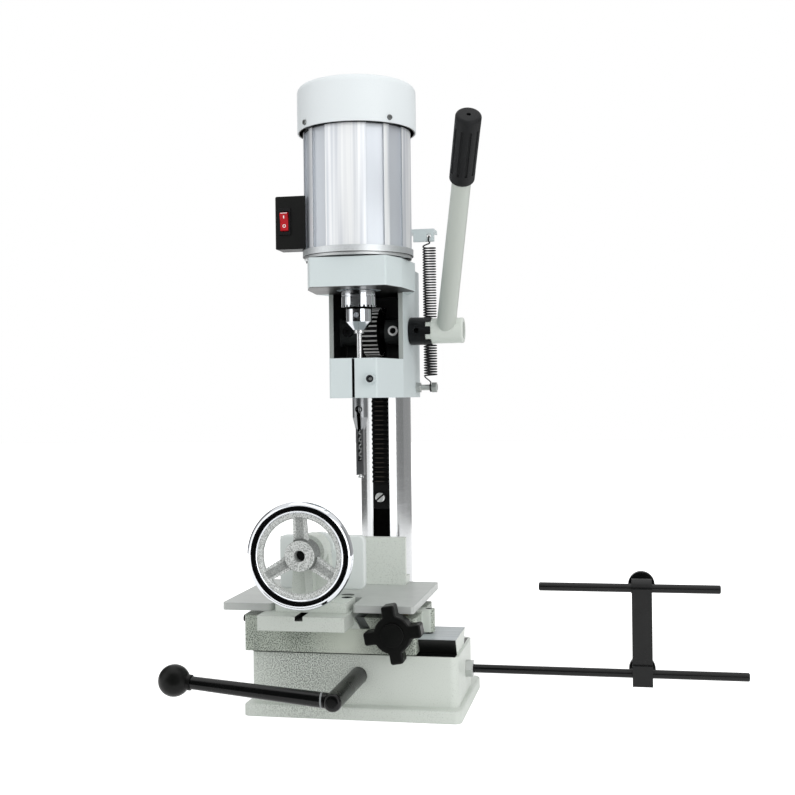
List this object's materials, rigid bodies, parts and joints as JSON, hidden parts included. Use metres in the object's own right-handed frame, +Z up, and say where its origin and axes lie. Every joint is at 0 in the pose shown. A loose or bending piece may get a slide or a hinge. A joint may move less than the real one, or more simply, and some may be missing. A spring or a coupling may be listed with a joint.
{
  "type": "hollow chisel mortiser",
  "caption": "Bench hollow chisel mortiser: a motor head on a racked column is pulled down by a side lever, driving a square chisel and auger over a two-way sliding clamp table.",
  "frame": {"origin": "on the bench, straight under the chisel's axis", "axes": "+Z up along the chisel, +X to the operator's right, -Y towards the operator"},
  "size_m": [0.6408, 0.4395, 0.754],
  "materials": {
    "casting_paint": "light grey enamel over cast iron",
    "ground_steel": "ground",
    "black_steel": "black oxide",
    "chrome": "bright plated",
    "die_cast_aluminium": "satin",
    "black_plastic": "moulded",
    "red_plastic": "moulded, clear red",
    "bronze": "turned"
  },
  "bodies": {
    "base": {"base_casting": "casting_paint", "column": "ground_steel", "column_rack": "black_steel", "column_screws": "black_steel", "spring_bracket": "casting_paint", "stop_rail": "black_steel", "stop_rail_nut": "black_steel", "return_spring": "black_steel"},
    "crank": {"crank_shaft": "black_steel", "crank_pinion": "ground_steel", "crank_arm": "black_steel", "crank_ball": "black_plastic"},
    "saddle": {"saddle": "casting_paint", "saddle_rack": "ground_steel", "saddle_gib": "ground_steel", "table_gib": "ground_steel", "saddle_screws": "black_steel"},
    "feed": {"feed_screw": "ground_steel", "star_knob": "black_plastic"},
    "table": {"cross_slide": "casting_paint", "table_plate": "ground_steel", "table_screws": "black_steel", "table_cap_screws": "black_steel", "feed_nut": "bronze", "rear_fence": "casting_paint", "clamp_bracket": "casting_paint"},
    "jaw": {"clamp_jaw": "casting_paint"},
    "clamp_wheel": {"clamp_screw": "ground_steel", "handwheel": "chrome"},
    "head": {"head_casting": "casting_paint", "pinion_bushes": "bronze", "head_screws": "black_steel", "chisel": "ground_steel", "motor_flange": "casting_paint", "motor_housing": "die_cast_aluminium", "stator": "ground_steel", "motor_bearings": "ground_steel", "motor_shield": "die_cast_aluminium", "fan_cover": "casting_paint", "switch_box": "black_plastic", "switch_bezel": "black_plastic", "cable_gland": "black_plastic", "spring_anchor": "ground_steel"},
    "spindle": {"motor_shaft": "ground_steel", "rotor": "ground_steel", "fan": "black_plastic", "chuck_body": "chrome", "chuck_sleeve": "chrome", "chuck_jaws": "ground_steel", "auger": "ground_steel"},
    "pinion": {"pinion_shaft": "ground_steel", "drive_pinion": "black_steel", "clutch_collar": "black_steel", "lever_end_screw": "ground_steel"},
    "lever": {"lever": "casting_paint", "lever_grip": "black_plastic"},
    "rocker": {"switch_rocker": "red_plastic"},
    "stop_bar": {"stop_bracket": "black_steel", "stop_thumb_screws": "black_steel"},
    "stop_rod": {"stop_rod": "black_steel"}
  },
  "joints": [
    {"name": "saddle_slide", "type": "slide", "parent": "base", "child": "saddle", "axis": [1, 0, 0], "range_m": [0, 0.088]},
    {"name": "crank_turn", "type": "hinge", "parent": "base", "child": "crank", "pos_m": [0.015, 0, 0.0475], "axis": [0, 1, 0], "range_deg": [0, 180.5]},
    {"name": "table_slide", "type": "slide", "parent": "saddle", "child": "table", "axis": [0, 1, 0], "range_m": [0, 0.04]},
    {"name": "feed_turn", "type": "hinge", "parent": "saddle", "child": "feed", "pos_m": [0.064, -0.1, 0.104], "axis": [0, -1, 0], "range_deg": [0, 4805]},
    {"name": "jaw_slide", "type": "slide", "parent": "table", "child": "jaw", "axis": [0, 1, 0], "range_m": [-0.02, 0.006]},
    {"name": "clamp_turn", "type": "hinge", "parent": "jaw", "child": "clamp_wheel", "pos_m": [-0.034, -0.1, 0.195], "axis": [0, 1, 0], "range_deg": [-1795, 538]},
    {"name": "head_slide", "type": "slide", "parent": "base", "child": "head", "axis": [0, 0, -1], "range_m": [0, 0.1], "stiffness_N_per_m": 2000, "springref_m": -0.2, "deforming": ["return_spring"]},
    {"name": "pinion_turn", "type": "hinge", "parent": "head", "child": "pinion", "pos_m": [0, 0.087, 0.456], "axis": [1, 0, 0], "range_deg": [0, 191.2]},
    {"name": "lever_pull", "type": "slide", "parent": "pinion", "child": "lever", "axis": [1, 0, 0], "range_m": [0, 0.008], "stiffness_N_per_m": 800, "springref_m": -0.01},
    {"name": "spindle_spin", "type": "hinge", "parent": "head", "child": "spindle", "pos_m": [0, 0, 0.5], "axis": [0, 0, 1], "continuous": true},
    {"name": "rocker_tilt", "type": "hinge", "parent": "head", "child": "rocker", "pos_m": [-0.084, -0.032, 0.587], "axis": [1, 0, 0], "range_deg": [-18, 0]},
    {"name": "stop_bar_slide", "type": "slide", "parent": "base", "child": "stop_bar", "axis": [1, 0, 0], "range_m": [-0.17, 0.105]},
    {"name": "stop_rod_slide", "type": "slide", "parent": "stop_bar", "child": "stop_rod", "axis": [1, 0, 0], "range_m": [-0.07, 0.1]}
  ],
  "couplings": [
    {"joint": "crank_turn", "follows": "saddle_slide", "rad_per_m": 35.714},
    {"joint": "feed_turn", "follows": "table_slide", "rad_per_m": 2094.4},
    {"joint": "jaw_slide", "follows": "clamp_turn", "m_per_rad": 0.00063662},
    {"joint": "pinion_turn", "follows": "head_slide", "rad_per_m": 33.333}
  ]
}
